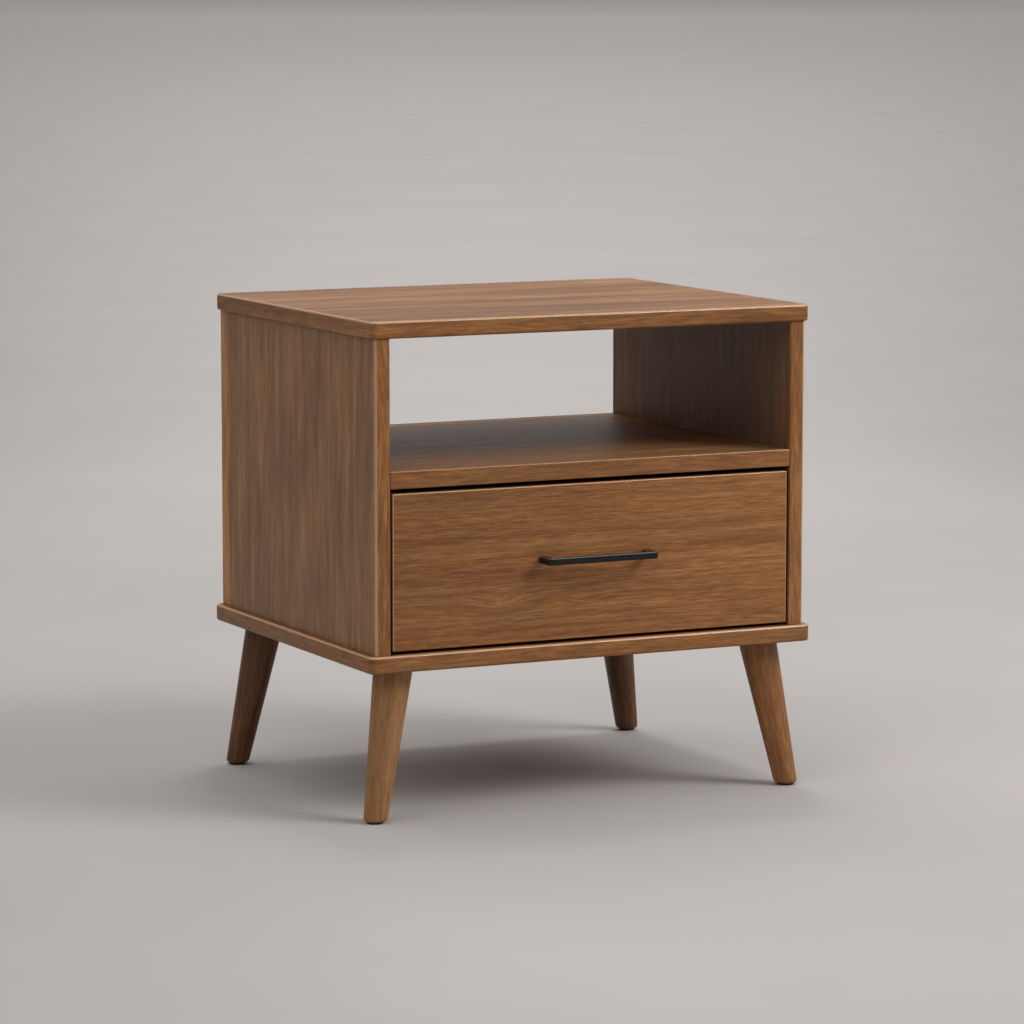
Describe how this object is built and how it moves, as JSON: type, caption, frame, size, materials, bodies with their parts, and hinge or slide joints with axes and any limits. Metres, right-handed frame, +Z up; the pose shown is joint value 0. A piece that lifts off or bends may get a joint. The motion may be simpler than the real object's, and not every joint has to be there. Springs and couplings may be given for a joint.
{
  "type": "nightstand",
  "caption": "Bedside cabinet with an open bay above an inset drawer, on splayed turned legs. The drawer runs on full-extension slides and has a square bar handle.",
  "frame": {"origin": "on the floor, below the centre of the whole outline seen from above, handle included", "axes": "+X to the right of someone facing the drawer, +Y towards the back, +Z up"},
  "size_m": [0.546, 0.464, 0.55],
  "materials": {
    "walnut_veneer": "satin lacquered walnut veneer",
    "walnut_solid": "satin lacquered solid walnut",
    "birch_plywood": "clear lacquered birch plywood",
    "beech_dowel": "raw beech",
    "black_metal": "satin black powder coat",
    "zinc_steel": "zinc plated",
    "bearing_steel": "polished steel",
    "brass_insert": "plain brass",
    "foot_pad": "matt dark plastic"
  },
  "bodies": {
    "cabinet": {"base_panel": "walnut_veneer", "base_screw_front_left": "zinc_steel", "base_screw_front_right": "zinc_steel", "base_screw_rear_left": "zinc_steel", "base_screw_rear_right": "zinc_steel", "cabinet_screw_front_left": "zinc_steel", "cabinet_screw_front_right": "zinc_steel", "cabinet_screw_rear_left": "zinc_steel", "cabinet_screw_rear_right": "zinc_steel", "foot_pad_front_left": "foot_pad", "foot_pad_front_right": "foot_pad", "foot_pad_rear_left": "foot_pad", "foot_pad_rear_right": "foot_pad", "left_side_panel": "walnut_veneer", "leg_bolt_front_left": "zinc_steel", "leg_bolt_front_right": "zinc_steel", "leg_bolt_rear_left": "zinc_steel", "leg_bolt_rear_right": "zinc_steel", "leg_front_left": "walnut_solid", "leg_front_right": "walnut_solid", "leg_insert_front_left": "brass_insert", "leg_insert_front_right": "brass_insert", "leg_insert_rear_left": "brass_insert", "leg_insert_rear_right": "brass_insert", "leg_rear_left": "walnut_solid", "leg_rear_right": "walnut_solid", "lower_back_panel": "walnut_veneer", "right_side_panel": "walnut_veneer", "shelf_panel": "walnut_veneer", "slide_outer_left": "zinc_steel", "slide_outer_right": "zinc_steel", "top_dowel_front_left": "beech_dowel", "top_dowel_front_right": "beech_dowel", "top_dowel_rear_left": "beech_dowel", "top_dowel_rear_right": "beech_dowel", "top_panel": "walnut_veneer"},
    "drawer": {"drawer_back": "birch_plywood", "drawer_bottom": "birch_plywood", "drawer_box_front": "birch_plywood", "drawer_front": "walnut_veneer", "drawer_handle": "black_metal", "drawer_left_side": "birch_plywood", "drawer_right_side": "birch_plywood", "drawer_screw_front_left": "zinc_steel", "drawer_screw_front_right": "zinc_steel", "drawer_screw_rear_left": "zinc_steel", "drawer_screw_rear_right": "zinc_steel", "front_screw_left": "zinc_steel", "front_screw_right": "zinc_steel", "handle_screw_left": "zinc_steel", "handle_screw_right": "zinc_steel", "slide_inner_left": "zinc_steel", "slide_inner_right": "zinc_steel"},
    "slide_middle_left": {"slide_middle_left": "zinc_steel"},
    "slide_middle_right": {"slide_middle_right": "zinc_steel"},
    "outer_cage_left": {"slide_outer_cage_left": "bearing_steel"},
    "outer_cage_right": {"slide_outer_cage_right": "bearing_steel"},
    "inner_cage_left": {"slide_inner_cage_left": "bearing_steel"},
    "inner_cage_right": {"slide_inner_cage_right": "bearing_steel"}
  },
  "joints": [
    {"name": "drawer_slide", "type": "slide", "parent": "cabinet", "child": "drawer", "axis": [0, -1, 0], "range_m": [0, 0.35]},
    {"name": "middle_slide_left", "type": "slide", "parent": "cabinet", "child": "slide_middle_left", "axis": [0, -1, 0], "range_m": [0, 0.175]},
    {"name": "outer_cage_slide_left", "type": "slide", "parent": "cabinet", "child": "outer_cage_left", "axis": [0, -1, 0], "range_m": [0, 0.0875]},
    {"name": "inner_cage_slide_left", "type": "slide", "parent": "cabinet", "child": "inner_cage_left", "axis": [0, -1, 0], "range_m": [0, 0.2625]},
    {"name": "middle_slide_right", "type": "slide", "parent": "cabinet", "child": "slide_middle_right", "axis": [0, -1, 0], "range_m": [0, 0.175]},
    {"name": "outer_cage_slide_right", "type": "slide", "parent": "cabinet", "child": "outer_cage_right", "axis": [0, -1, 0], "range_m": [0, 0.0875]},
    {"name": "inner_cage_slide_right", "type": "slide", "parent": "cabinet", "child": "inner_cage_right", "axis": [0, -1, 0], "range_m": [0, 0.2625]}
  ],
  "couplings": [
    {"joint": "middle_slide_left", "follows": "drawer_slide", "ratio": 0.5},
    {"joint": "outer_cage_slide_left", "follows": "drawer_slide", "ratio": 0.25},
    {"joint": "inner_cage_slide_left", "follows": "drawer_slide", "ratio": 0.75},
    {"joint": "middle_slide_right", "follows": "drawer_slide", "ratio": 0.5},
    {"joint": "outer_cage_slide_right", "follows": "drawer_slide", "ratio": 0.25},
    {"joint": "inner_cage_slide_right", "follows": "drawer_slide", "ratio": 0.75}
  ]
}
